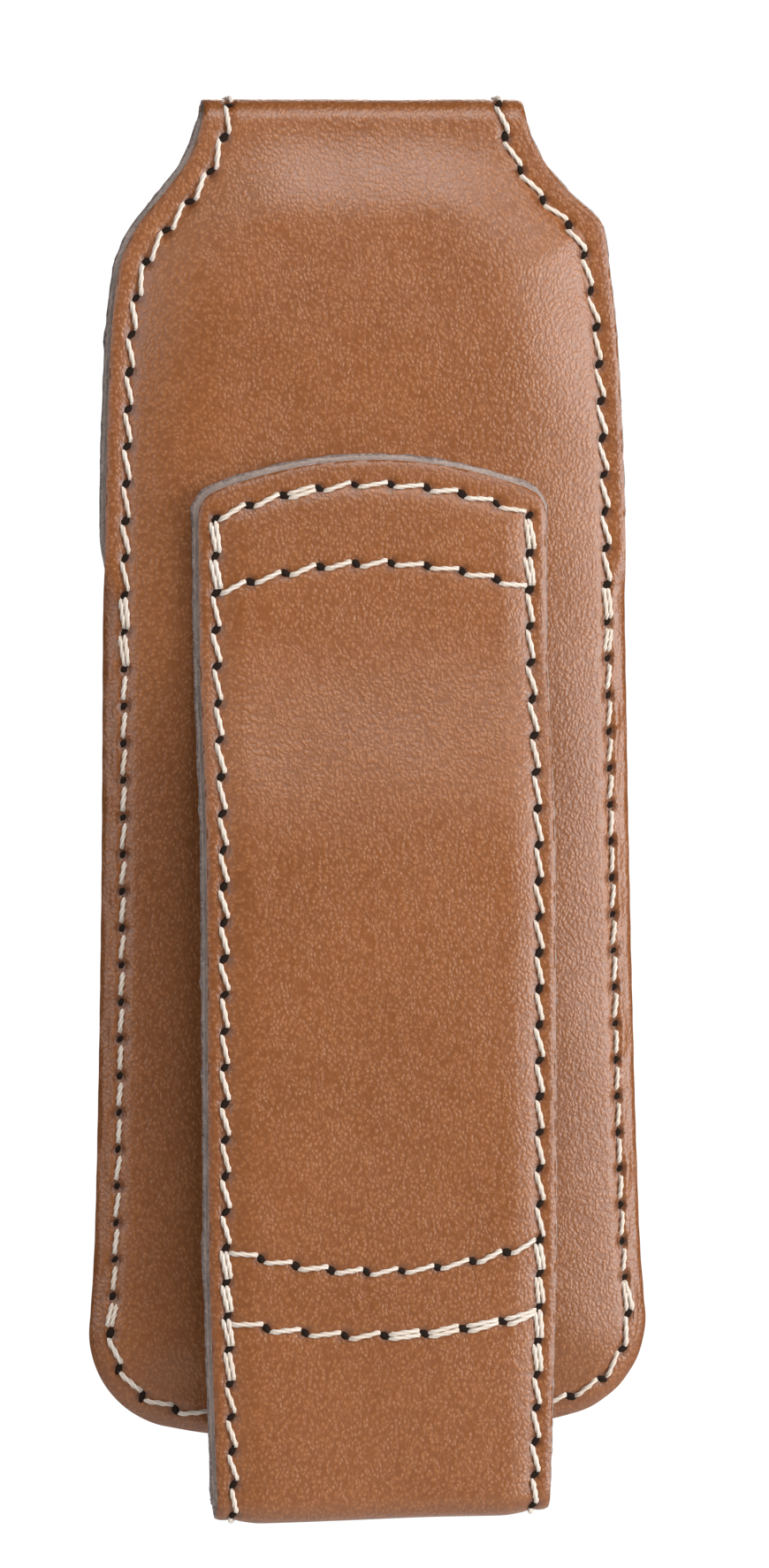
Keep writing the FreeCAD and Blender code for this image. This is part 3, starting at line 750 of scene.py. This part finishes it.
hinge_y, hinge_z = FLANGE_Y + 2 * FOLD_R, FOLD_H + FOLD_FOOT
bend_start, bend_end = (hinge_z + 1.5) * MM, (hinge_z - 6.5) * MM
flap_bend = ("case", "flap", (0, hinge_y * MM, bend_start), (0, hinge_y * MM, bend_end))


def tongue_lean(plan):
    """The neck's leaning edge comes upright on the way down."""
    return 0.35 * (1.0 - ease((plan[:, :, 1] - FOLD_H - FOLD_LENGTH) / 20.0))


flap_plan = flap_grid(0.5)
sheets = layer(flap_plan, flap_face, 1, 0.0, LEATHER, tongue_lean(flap_plan))
flap = closed_sheet("flap_leather", sheets, (TAN, RAW, RAW), 0.1, edge_of(flap_plan, flap_edge),
                    edge_of(flap_plan, flap_holes))
stand_for(flap, "leather", flap_bend, "flap_panel")

# ------------------------------
# Flap lining. Thin split leather glued inside the tongue, cut together with it.
flap_lining_plan = flap_grid(1.0)
sheets = layer(flap_lining_plan, flap_face, 1, LEATHER, WALL, tongue_lean(flap_lining_plan), False)
flap_lining = closed_sheet("flap_lining", sheets, (RAW, RAW, SUEDE), 0.08)
stand_for(flap_lining, "lining", flap_bend, "flap_lining")

# ------------------------------
# Belt strap. One length of cowhide with a crowned top end, sewn to the back by two rows. It hangs
# free below them, folds forward at its foot and ends inside as a short return leg.
STRAP_HALF = 17.25
STRAP_FOOT_HALF = 16.6
STRAP_TOP = 103.9
STRAP_SAG = 3.6
STRAP_HEAD_Y = -0.05
STRAP_RAMP = 4.3  # the step away from the back, for the belt
RAMP_TOP = 89.0
RAMP_RUN = 25.0
FOOT_R = 2.25
FOOT_Y = STRAP_HEAD_Y - STRAP_RAMP + FOOT_R
FOOT_TURN = FOOT_R - math.pi * FOOT_R  # plan height where the return leg begins
STRAP_END = FOOT_TURN - (28.4 - FOOT_R)
STRAP_MARGIN = 1.65
ROW_HALF = 15.6  # a crossing row ends at the edge seams
HEAD_ROWS = ((98.3, 101.5), (91.0, 93.8))  # heights of a row's ends and its middle
FOOT_ROWS = ((27.1, 24.5), (20.1, 18.2))


def strap_half(h):
    """Half width at a plan height, the same on the return leg as on the leg in front of it."""
    above = np.where(h < FOOT_TURN, FOOT_R + FOOT_TURN - h, h)
    return STRAP_HALF - (STRAP_HALF - STRAP_FOOT_HALF) * np.clip((25.0 - above) / 22.75, 0, 1)


strap_side_h = np.linspace(STRAP_END, 98.61, 400)
strap_left = np.stack([-strap_half(strap_side_h), strap_side_h], 1)
strap_corner = arc((-17.25, 98.61), (-16.81, 99.99), (-15.66, 100.87), 21)
top_x = np.linspace(-15.66, 15.66, 120)
strap_top = np.stack([top_x, STRAP_TOP - STRAP_SAG * (top_x / STRAP_HALF) ** 2], 1)
corner_right = (strap_corner * (-1, 1))[::-1]
strap_edge = even(
    np.vstack([strap_left, strap_corner, strap_top, corner_right, (strap_left * (-1, 1))[::-1]]), 0.2
)


def row_line(row):
    """A curved row across the strap, between the two edge seams."""
    x = np.linspace(-ROW_HALF, ROW_HALF, 100)
    return np.stack([x, row[1] - (row[1] - row[0]) * (x / ROW_HALF) ** 2], 1)


def edge_line(heights):
    """Points of the left edge seam at plan heights."""
    return np.stack([-strap_half(heights) + STRAP_MARGIN, heights], 1)


seam_h = (98.3, 91.0, 27.2, STRAP_END + 1.6)  # where it meets a row, and its end
edge_seam = edge_line(np.linspace(seam_h[0], seam_h[3], 500))
hole_h = [np.linspace(high, low, count) for high, low, count in zip(seam_h, seam_h[1:], (3, 19, 18))]
edge_holes = edge_line(np.concatenate([hole_h[0], hole_h[1][1:], hole_h[2][1:]]))
head_holes = [along(row_line(row), np.linspace(0, 1, 10)) for row in HEAD_ROWS]
foot_holes = [along(row_line(row), np.linspace(0, 1, count)) for row, count in zip(FOOT_ROWS, (10, 9))]
strap_lines = np.vstack([even(line, 0.3) for line in [edge_seam, edge_seam * (-1, 1)]]
                        + [even(row_line(row), 0.3) for row in HEAD_ROWS + FOOT_ROWS])
strap_holes = np.vstack([edge_holes, edge_holes * (-1, 1)] + head_holes + foot_holes)


def strap_face(points, relief=True):
    """Outer face of the strap at plan points (x, height), the fold and return leg as lengths."""
    x, h = points[:, 0], points[:, 1]
    bend = np.clip((FOOT_R - h) / FOOT_R, 0, math.pi)
    up = np.clip(FOOT_TURN - h, 0, None)
    share = np.clip((RAMP_TOP - h) / RAMP_RUN, 0, 1)
    slope = STRAP_RAMP * 6.0 * share * (1.0 - share) / RAMP_RUN
    edge, _ = nearest(points, strap_edge)
    out = 0.35 * ease((edge - 1.4) / 3.2) + 0.10 * waves(x, h, 29.0, 4.0) * ease(edge / 6.0)
    out -= 0.12 * hump((edge - 0.2) / 0.8)
    out *= ease((h - STRAP_END) / 6.0)
    if relief:
        out -= sewn(points, strap_lines, strap_holes) + edge_pinch(edge)
    stretch = np.sqrt(1.0 + slope**2)
    leg = h > FOOT_R
    over_y = np.where(leg, -1.0 / stretch, -np.cos(bend))
    over_z = np.where(leg, slope / stretch, -np.sin(bend))
    leg_y = STRAP_HEAD_Y - STRAP_RAMP * ease(share)
    y = np.where(leg, leg_y, FOOT_Y - FOOT_R * np.cos(bend)) + out * over_y
    z = np.where(leg, h, FOOT_R - FOOT_R * np.sin(bend) + up) + out * over_z
    return np.stack([x, y, z + FOLD_FOOT], 1)


def strap_grid(fine, across):
    left = np.vstack([strap_left, strap_corner[1:11]])
    high = np.vstack([strap_corner[10:], strap_top[1:-1], corner_right[:11]])
    low = np.array([strap_left[0], strap_left[0] * (-1, 1)])
    columns = crowded(2 * STRAP_HALF, across, 4.5, 1.6 * across)
    rows = np.linspace(0, 1, round(length_of(left) / fine))
    return plan_grid(left, left * (-1, 1), low, high, columns, rows)


def strap_lean(plan):
    """The cut edge leans outwards, more at the top end."""
    return 0.42 + 0.3 * ease((plan[:, :, 1] - 97.5) / 2.5)


strap_bend = ("case", "strap", (0, 0, (90.2 + FOLD_FOOT) * MM), (0, 0, (83.0 + FOLD_FOOT) * MM))
strap_plan = strap_grid(0.42, 0.36)
sheets = layer(strap_plan, strap_face, 1, 0.0, LEATHER, strap_lean(strap_plan))
strap = closed_sheet("belt_strap_leather", sheets, (TAN, RAW, RAW), 0.1, edge_of(strap_plan, strap_edge),
                     edge_of(strap_plan, strap_holes))
stand_for(strap, "leather", strap_bend, "strap_head", "strap_leg")

# ------------------------------
# Belt strap lining. Thin split leather glued inside the strap along its whole length.
strap_lining_plan = strap_grid(0.9, 0.8)
lean = strap_lean(strap_lining_plan)
sheets = layer(strap_lining_plan, strap_face, 1, LEATHER, WALL - 0.02, lean, False)
strap_lining = closed_sheet("belt_strap_lining", sheets, (RAW, RAW, SUEDE), 0.08)
stand_for(strap_lining, "lining", strap_bend, "strap_head_lining", "strap_leg_lining")

# ------------------------------
# Neck seam. Waxed cream thread, three plies twisted together. Every stitch leans across the line
# of the seam and dives into the slits that the needle cut.
def thread_material():
    material, tree = new_material("cream_thread")
    place = object_place(tree)
    fuzz = noise(place, 0.12, 3.0, 0.7).span(0.3, 0.7)
    soiled = noise(place, 6.0, 3.0).span(0.35, 0.75)
    # Painted shade and highlight: each ply's crest is painted pale and the crevices between the plies dark
    # brown, standing in for the light and shade of the twist.
    light = (marked(tree, "ply_shade") * 0.65 + fuzz * 0.35).tint((0.50, 0.40, 0.32, 1), (0.94, 0.88, 0.81, 1))
    colour = multiplied(light, (soiled * 0.5).tint((1, 1, 1, 1), (0.86, 0.76, 0.64, 1)), 1.0)
    finish_of(colour, 0.72, fuzz, 0.04 * MM, Specular_IOR_Level=0.3, Sheen_Weight=0.15)
    return material


def slit_shadow_material():
    # Painted shadow: near-black colour for the slit shapes at the needle holes, standing in for the shade
    # inside each hole.
    material, tree = new_material("needle_slit_painted_shadow")
    slit_shade = noise(object_place(tree), 0.3, 2.0)
    colour = slit_shade.tint((0.006, 0.004, 0.003, 1), (0.022, 0.012, 0.008, 1))
    finish_of(colour, 0.9, Specular_IOR_Level=0.1)
    return material


THREAD = thread_material()
SLIT_SHADOW = slit_shadow_material()


def stitch_tree():
    """One twisted stitch on each point, or a slit where the point is marked as one: a flat near-black
    shape, painted shadow inside the needle hole.
    """
    tree = bpy.data.node_groups.new("stitches", "GeometryNodeTree")
    tree.interface.new_socket("Points", in_out="INPUT", socket_type="NodeSocketGeometry")
    sizes = {"Thread radius": 0.28 * MM, "Stitch length": 3.0 * MM, "Rise": 0.16 * MM, "Dive": 0.55 * MM,
             "Twist": 6.6, "Slit length": 1.55 * MM, "Slit width": 0.74 * MM, "Slit turn": -0.75, "Seed": 7}
    for name, value in sizes.items():
        kind = "NodeSocketInt" if isinstance(value, int) else "NodeSocketFloat"
        socket = tree.interface.new_socket(name, in_out="INPUT", socket_type=kind)
        socket.default_value = value
    tree.interface.new_socket("Mesh", in_out="OUTPUT", socket_type="NodeSocketGeometry")
    feed = tree.nodes.new("NodeGroupInput")
    given = {socket.name: Wire(tree, socket) for socket in feed.outputs if socket.name}

    def named(name, kind="FLOAT"):
        return node(tree, "GeometryNodeInputNamedAttribute", {"data_type": kind}, (name,))

    def joined(x, y, z):
        return node(tree, "ShaderNodeCombineXYZ", None, (x, y, z))

    def random(low, high, number):
        values = {2: low, 3: high, 8: given["Seed"] + number}
        return node(tree, "FunctionNodeRandomValue", {"data_type": "FLOAT"}, values, 1)

    half = given["Stitch length"] * 0.5
    ends = (joined(half * -1.0, 0.0, 0.0), joined(half, 0.0, 0.0))
    line = node(tree, "GeometryNodeCurvePrimitiveLine", None, ends)
    fine = node(tree, "GeometryNodeResampleCurve", None, {0: line, 2: 13})
    share = node(tree, "GeometryNodeSplineParameter")
    away = (share * 2.0 - 1.0).math("ABSOLUTE")
    arch = joined(0.0, 0.0, given["Rise"] - given["Dive"] * away**5.0)
    bent = node(tree, "GeometryNodeSetPosition", None, {0: fine, 3: arch})
    turned = node(tree, "GeometryNodeSetCurveTilt", None, {0: bent, 2: share * given["Twist"]})
    radius = given["Thread radius"]
    star = node(tree, "GeometryNodeCurveStar", None, (3, radius * 0.74, radius))
    tips = Wire(tree, star.socket.node.outputs[1])
    # The star's outer points mark each ply's crest, from which the thread material paints its shade and
    # highlight.
    plies = node(tree, "GeometryNodeStoreNamedAttribute", {"data_type": "FLOAT", "domain": "POINT"},
                 {0: star, 2: "ply_shade", 3: tips})
    stitch = node(tree, "GeometryNodeCurveToMesh", None,
                  {0: turned, 1: plies, 2: 1.0 - away**6.0 * 0.2, 3: True})
    ball = node(tree, "GeometryNodeMeshUVSphere", None, (8, 5, 0.5))
    slit_size = joined(given["Slit length"], given["Slit width"], given["Slit width"] * 0.55)
    slit = node(tree, "GeometryNodeTransform", None, {0: ball, 3: slit_size})

    is_slit = named("slit")
    frame_of = node(tree, "FunctionNodeAxesToRotation", {"primary_axis": "X", "secondary_axis": "Z"},
                    (named("heading", "FLOAT_VECTOR"), named("facing", "FLOAT_VECTOR")))

    def placed(shape, chosen, lean, size):
        turn = node(tree, "FunctionNodeAxisAngleToRotation", None, ((0.0, 0.0, 1.0), lean))
        rotation = node(tree, "FunctionNodeRotateRotation", {"rotation_space": "LOCAL"}, (frame_of, turn))
        values = {0: given["Points"], 1: chosen, 2: shape, 5: rotation, 6: size}
        return node(tree, "GeometryNodeInstanceOnPoints", None, values)

    length = named("span") / given["Stitch length"] * random(0.95, 1.05, 1)
    thick = random(0.93, 1.07, 2)
    thread_lean = named("lean") + random(-0.07, 0.07, 3)
    threads = placed(stitch, 1.0 - is_slit, thread_lean, joined(length, thick, thick))
    slit_turn = given["Slit turn"] + random(-0.25, 0.25, 4)
    slits = placed(slit, is_slit, slit_turn, joined(random(0.8, 1.15, 5), random(0.8, 1.25, 6), 1.0))
    both = tree.nodes.new("GeometryNodeJoinGeometry")
    tree.links.new(threads.socket, both.inputs[0])
    tree.links.new(slits.socket, both.inputs[0])
    smooth = node(tree, "GeometryNodeSetShadeSmooth", None, (Wire(tree, both.outputs[0]), True, True))
    real = node(tree, "GeometryNodeRealizeInstances", None, (smooth,))
    threaded = node(tree, "GeometryNodeSetMaterial", None, (real, True, THREAD))
    cut = is_slit.math("GREATER_THAN", 0.5)
    finished = node(tree, "GeometryNodeSetMaterial", None, (threaded, cut, SLIT_SHADOW))
    sink = tree.nodes.new("NodeGroupOutput")
    tree.links.new(finished.socket, sink.inputs[0])
    return tree


STITCHES = stitch_tree()


def seat(points, face, side):
    """Place in mm and unit normal of plan points on a face."""
    nudge = 0.05
    across = face(points + (nudge, 0), False) - face(points - (nudge, 0), False)
    up = face(points + (0, nudge), False) - face(points - (0, nudge), False)
    normal = side * np.cross(across, up)
    return face(points, True), normal / np.linalg.norm(normal, axis=1)[:, None]


def row_of(holes, face, side, lean=0.27, reach=0.80, doubled=None, open_ends=(True, True)):
    """One row of stitches: place, heading, facing, length, lean and slit mark of each.

    doubled is a test on plan x and height for the stitches that the seam goes over twice.
    """
    middle = (holes[1:] + holes[:-1]) / 2.0
    place, facing = seat(middle, face, side)
    pit_place, pit_facing = seat(holes, face, side)
    heading = pit_place[1:] - pit_place[:-1]
    size = np.linalg.norm(heading, axis=1)
    heading /= size[:, None]
    span = size * reach + 0.25
    twice = np.zeros(len(middle), bool) if doubled is None else doubled(middle[:, 0], middle[:, 1])
    sideways = np.cross(facing, heading) * 0.22
    rows = []
    for shift, extra, chosen in ((-1, -0.09, twice), (1, -0.11, twice), (0, 0.0, ~twice)):
        count = chosen.sum()
        rows.append(np.column_stack([
            (place + shift * sideways)[chosen], heading[chosen], facing[chosen],
            span[chosen], np.full(count, lean + extra), np.zeros(count),
        ]))
    pit_heading = np.vstack([heading[:1], heading])
    kept = slice(0 if open_ends[0] else 1, len(holes) - (0 if open_ends[1] else 1))
    ones = np.ones(len(holes))
    # The slit shapes, dark painted shadow of each hole, sit 0.1 mm out from the face.
    pits = np.column_stack([pit_place + 0.10 * pit_facing, pit_heading, pit_facing, ones, 0 * ones, ones])
    return np.vstack(rows + [pits[kept]])


def stitched(name, body, node_name, rows, **sizes):
    """Seam object from rows of stitches, sewn by the stitches tree."""
    rows = np.vstack(rows)
    mesh = bpy.data.meshes.new(name)
    mesh.from_pydata((rows[:, 0:3] * MM).tolist(), [], [])
    for label, columns in (("heading", rows[:, 3:6]), ("facing", rows[:, 6:9])):
        mesh.attributes.new(label, "FLOAT_VECTOR", "POINT").data.foreach_set("vector", columns.ravel())
    for label, column in (("span", rows[:, 9] * MM), ("lean", rows[:, 10]), ("slit", rows[:, 11])):
        mesh.attributes.new(label, "FLOAT", "POINT").data.foreach_set("value", column)
    guide = shown(name + "_guide", mesh)
    sewing = guide.modifiers.new("sewing", "NODES")
    sewing.node_group = STITCHES
    for socket in STITCHES.interface.items_tree:
        if socket.name in sizes:
            sewing[socket.identifier] = sizes[socket.name]
    made = bpy.data.meshes.new_from_object(guide.evaluated_get(bpy.context.evaluated_depsgraph_get()))
    guide.modifiers.clear()
    bpy.data.objects.remove(guide)
    piece = shown(name, made)
    made.name = name
    stand_for(piece, "thread", body, node_name)


top = np.nonzero(case_holes[:, 1] > MOUTH_H + 1.0)[0]
turn_at = int(np.nonzero(np.diff(top) > 1)[0][0])
left_last, right_first = top[turn_at], top[turn_at + 1]
neck_rows = [
    row_of(case_holes[:left_last + 1], back_face, 1, open_ends=(True, False)),
    row_of(case_holes[right_first:], back_face, 1, open_ends=(False, True)),
]
stitched("neck_seam_thread", "case", "back_edge_thread", neck_rows)

# ------------------------------
# Pocket seam. The same thread joins pocket and back through both flanges, so it shows on both
# faces. It is pulled into a groove, and goes over twice where it starts, turns and ends.
pocket_holes = case_holes[left_last:right_first + 1]


def backtacked(x, h):
    return ((h > 84.0) & (h < 92.5)) | ((h > 18.0) & (h < 22.5))


def sunk_rows(holes):
    """Back side of the pocket seam: tight short stitches between the back tacks."""
    high = (holes[:, 1] > 84.5) | (holes[:, 1] < 19.5)
    change = [0] + list(np.nonzero(np.diff(high.astype(int)))[0] + 1) + [len(holes) - 1]
    rows = []
    for first, last in zip(change, change[1:]):
        loose = high[(first + last) // 2]
        lean, reach = (0.22, 0.80) if loose else (-0.12, 0.62)
        ends = (True, last == change[-1])
        rows.append(row_of(holes[first:last + 1], back_face, 1, lean, reach, backtacked, ends))
    return rows


front_row = row_of(pocket_holes[::-1], pocket_face, -1, 0.20, 0.80, backtacked)
stitched("pocket_seam_thread", "case", "pocket_seam_thread", sunk_rows(pocket_holes) + [front_row])

# ------------------------------
# Mouth seam. One straight row below the pocket's cut top edge keeps leather and lining together.
stitched("mouth_seam_thread", "case", "pocket_mouth_thread", [row_of(mouth_holes, pocket_face, -1)])

# ------------------------------
# Strap head rows. Two curved rows sew the strap to the back. The upper one has a short tack where
# the thread was locked.
def locked(x, h):
    return (x > -10.0) & (x < -5.5)


def across(holes, doubled=None):
    """A row that crosses the strap and ends in the holes of its edge seams."""
    return row_of(holes, strap_face, 1, 0.2, 0.8, doubled, (False, False))


head_rows = [across(head_holes[0], locked), across(head_holes[1])]
stitched("strap_head_thread", "case", "strap_head_thread", head_rows)

# ------------------------------
# Strap edge seams. One seam down each side of the strap, round the foot and up the return leg.
# They go over twice between the head rows and beside the foot rows.
def strap_tacked(x, h):
    return ((h > 90.0) & (h < 97.0)) | ((h > 15.0) & (h < 27.5))


edge_rows = [
    row_of(edge_holes, strap_face, 1, doubled=strap_tacked),
    row_of(edge_holes * (-1, 1), strap_face, 1, doubled=strap_tacked),
]
stitched("strap_edge_thread", strap_bend, "strap_edge_thread", edge_rows)

# ------------------------------
# Strap foot rows. Two rows bow downwards across the strap and close the folded foot.
def right_half(x, h):
    return x > -0.5


foot_rows = [across(foot_holes[0]), across(foot_holes[1], right_half)]
stitched("strap_foot_thread", "strap", "strap_row_thread", foot_rows)

# ------------------------------
# Flap edge seam. The neck seam goes on over the fold and round the tongue's edge.
flap_row = row_of(flap_holes, flap_face, 1, open_ends=(False, False))
stitched("flap_edge_thread", flap_bend, "flap_edge_thread", [flap_row])

# ------------------------------
# Press studs. Turned brass with a dull antique finish: a domed cap riveted to its socket through
# the leather, and a stud on a rivet base opposite it. The flap's cap is the only one in plain view.
def brass_material():
    material, tree = new_material("antique_brass")
    place = object_place(tree)
    cloud = noise(place, 1.8, 4.0, 0.6).span(0.3, 0.7)
    scratch = node(tree, "ShaderNodeTexNoise", {"noise_dimensions": "3D"},
                   {"Vector": place, "Scale": 5200.0, "Detail": 2.0, "Distortion": 1.5})
    colour = cloud.tint((0.30, 0.205, 0.095, 1), (0.47, 0.34, 0.17, 1))
    rough = 0.27 + cloud * 0.14 + scratch.span(0.45, 0.8) * 0.12
    finish_of(colour, rough, scratch, 0.01 * MM, Metallic=0.95)
    return material


BRASS = brass_material()
CAP_PROFILE = [(0.0, 1.30), (1.6, 1.27), (3.2, 1.14), (4.4, 0.88), (5.0, 0.62), (5.15, 0.52), (5.35, 0.56),
               (5.6, 0.66), (5.85, 0.60), (6.0, 0.38), (5.98, 0.12), (5.8, 0.0), (4.0, 0.0), (2.0, 0.0),
               (0.0, 0.0)]


def turned_cap(name, centre, profile, steps=72):
    """Solid of revolution round +Y from a (radius, height) profile in mm."""
    form = bmesh.new()
    rings = []
    for radius, height in profile:
        if radius == 0.0:
            rings.append([form.verts.new((centre[0], centre[1] + height, centre[2]))])
            continue
        ring = []
        for k in range(steps):
            angle = 2.0 * math.pi * k / steps
            spoke = (radius * math.cos(angle), height, radius * math.sin(angle))
            ring.append(form.verts.new([middle + way for middle, way in zip(centre, spoke)]))
        rings.append(ring)
    for one, two in zip(rings, rings[1:]):
        for k in range(steps):
            near = [one[k % len(one)], one[(k + 1) % len(one)]]
            far = [two[(k + 1) % len(two)], two[k % len(two)]]
            form.faces.new(list(dict.fromkeys(near + far)))
    bmesh.ops.scale(form, vec=(MM, MM, MM), verts=form.verts)
    bmesh.ops.recalc_face_normals(form, faces=form.faces)
    mesh = bpy.data.meshes.new(name)
    form.to_mesh(mesh)
    form.free()
    mesh.polygons.foreach_set("use_smooth", np.ones(len(mesh.polygons), bool))
    mesh.materials.append(BRASS)
    return shown(name, mesh)


cap_low, cap_high = (np.array(corner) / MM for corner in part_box("flap_snap_cap"))
cap_middle = (cap_low + cap_high) / 2
cap_centre = (cap_middle[0], cap_high[1] - CAP_PROFILE[0][1], cap_middle[2])
cap = turned_cap("flap_snap_cap_dome", cap_centre, CAP_PROFILE)
stand_for(cap, "snap_metal", "flap", "flap_snap_cap")
for name in ("flap_snap_socket", "flap_stud", "flap_stud_rivet", "strap_snap_cap", "strap_snap_socket",
             "strap_stud", "strap_stud_rivet"):
    metal = bpy.data.objects[name]
    metal.data.materials.clear()
    metal.data.materials.append(BRASS)

bpy.context.view_layer.update()
